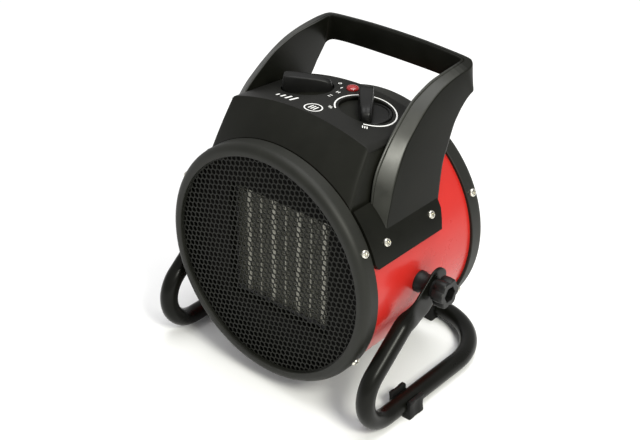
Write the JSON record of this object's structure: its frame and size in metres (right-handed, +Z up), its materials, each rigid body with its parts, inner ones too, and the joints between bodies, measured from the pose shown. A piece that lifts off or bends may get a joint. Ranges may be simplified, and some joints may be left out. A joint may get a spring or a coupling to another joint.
{
  "type": "ceramic fan heater",
  "caption": "Portable round ceramic fan heater: red drum with mesh front, control housing with two knobs and lamp, arched carry handle and tilting black tube stand.",
  "frame": {"origin": "on the floor, below the middle of the plan outline of the whole heater", "axes": "+Z up, air leaves towards -Y (the front), +X to the right-hand side seen from the front; the drum axis runs along Y"},
  "size_m": [0.2448, 0.1898, 0.2524],
  "materials": {
    "tube_black": "satin",
    "foot_rubber": "matt",
    "drum_red": "gloss",
    "ring_plastic": "satin",
    "grille_black": "satin",
    "screw_nickel": "bright",
    "baffle_black": "matt",
    "ptc_plastic": "matt",
    "bar_aluminium": "bright",
    "fin_aluminium": "satin",
    "terminal_brass": "satin",
    "cutout_steel": "satin",
    "bracket_steel": "satin",
    "motor_steel": "satin",
    "winding_copper": "gloss",
    "shaft_steel": "bright",
    "fan_plastic": "satin",
    "housing_plastic": "satin",
    "panel_plastic": "satin",
    "switch_plastic": "satin",
    "knob_plastic": "satin",
    "lamp_red": "clear red",
    "gland_plastic": "satin",
    "wire_red": "satin",
    "handle_plastic": "satin",
    "clamp_plastic": "satin"
  },
  "bodies": {
    "stand": {"stand_tube": "tube_black", "foot_clips": "foot_rubber"},
    "heater": {"drum_shell": "drum_red", "front_ring": "ring_plastic", "front_grille": "grille_black", "rear_ring": "ring_plastic", "rear_grille": "grille_black", "ring_screws": "screw_nickel", "baffle_plate": "baffle_black", "ptc_frame": "ptc_plastic", "ptc_bars": "bar_aluminium", "ptc_fins": "fin_aluminium", "ptc_electrodes": "terminal_brass", "thermal_cutout": "cutout_steel", "motor_bracket": "bracket_steel", "motor_body": "motor_steel", "motor_stator": "motor_steel", "motor_windings": "winding_copper", "motor_screws": "screw_nickel", "fan_shroud": "fan_plastic", "control_housing": "housing_plastic", "control_panel": "panel_plastic", "selector_body": "switch_plastic", "thermostat_body": "bracket_steel", "lamp_body": "switch_plastic", "lamp_lens": "lamp_red", "terminal_block": "switch_plastic", "cable_gland": "gland_plastic", "wire_grommet": "foot_rubber", "wire_loom": "wire_red", "handle": "handle_plastic", "handle_screws": "screw_nickel", "pivot_spacers": "gland_plastic", "pivot_inserts": "terminal_brass"},
    "fan": {"motor_rotor": "motor_steel", "motor_shaft": "shaft_steel", "fan_impeller": "fan_plastic", "fan_nut": "screw_nickel"},
    "selector": {"selector_shaft": "shaft_steel", "selector_knob": "knob_plastic"},
    "thermostat": {"thermostat_shaft": "shaft_steel", "thermostat_knob": "knob_plastic"},
    "clamp_right": {"clamp_stud_right": "screw_nickel", "clamp_knob_right": "clamp_plastic"},
    "clamp_left": {"clamp_stud_left": "screw_nickel", "clamp_knob_left": "clamp_plastic"}
  },
  "joints": [
    {"name": "heater_tilt", "type": "hinge", "parent": "stand", "child": "heater", "pos_m": [0, -0.0181, 0.1059], "axis": [1, 0, 0], "range_deg": [-7, 7]},
    {"name": "fan_spin", "type": "hinge", "parent": "heater", "child": "fan", "pos_m": [0, 0.0209, 0.1094], "axis": [0, 1, 0], "continuous": true},
    {"name": "selector_turn", "type": "hinge", "parent": "heater", "child": "selector", "pos_m": [-0.026, -0.0071, 0.2154], "axis": [0, 0, 1], "range_deg": [-44, 22]},
    {"name": "thermostat_turn", "type": "hinge", "parent": "heater", "child": "thermostat", "pos_m": [0.03, -0.0071, 0.2154], "axis": [0, 0, 1], "range_deg": [0, 288]},
    {"name": "clamp_turn_right", "type": "hinge", "parent": "heater", "child": "clamp_right", "pos_m": [0.11, -0.0181, 0.1059], "axis": [1, 0, 0], "range_deg": [0, 180]},
    {"name": "clamp_turn_left", "type": "hinge", "parent": "heater", "child": "clamp_left", "pos_m": [-0.11, -0.0181, 0.1059], "axis": [-1, 0, 0], "range_deg": [0, 180]}
  ]
}
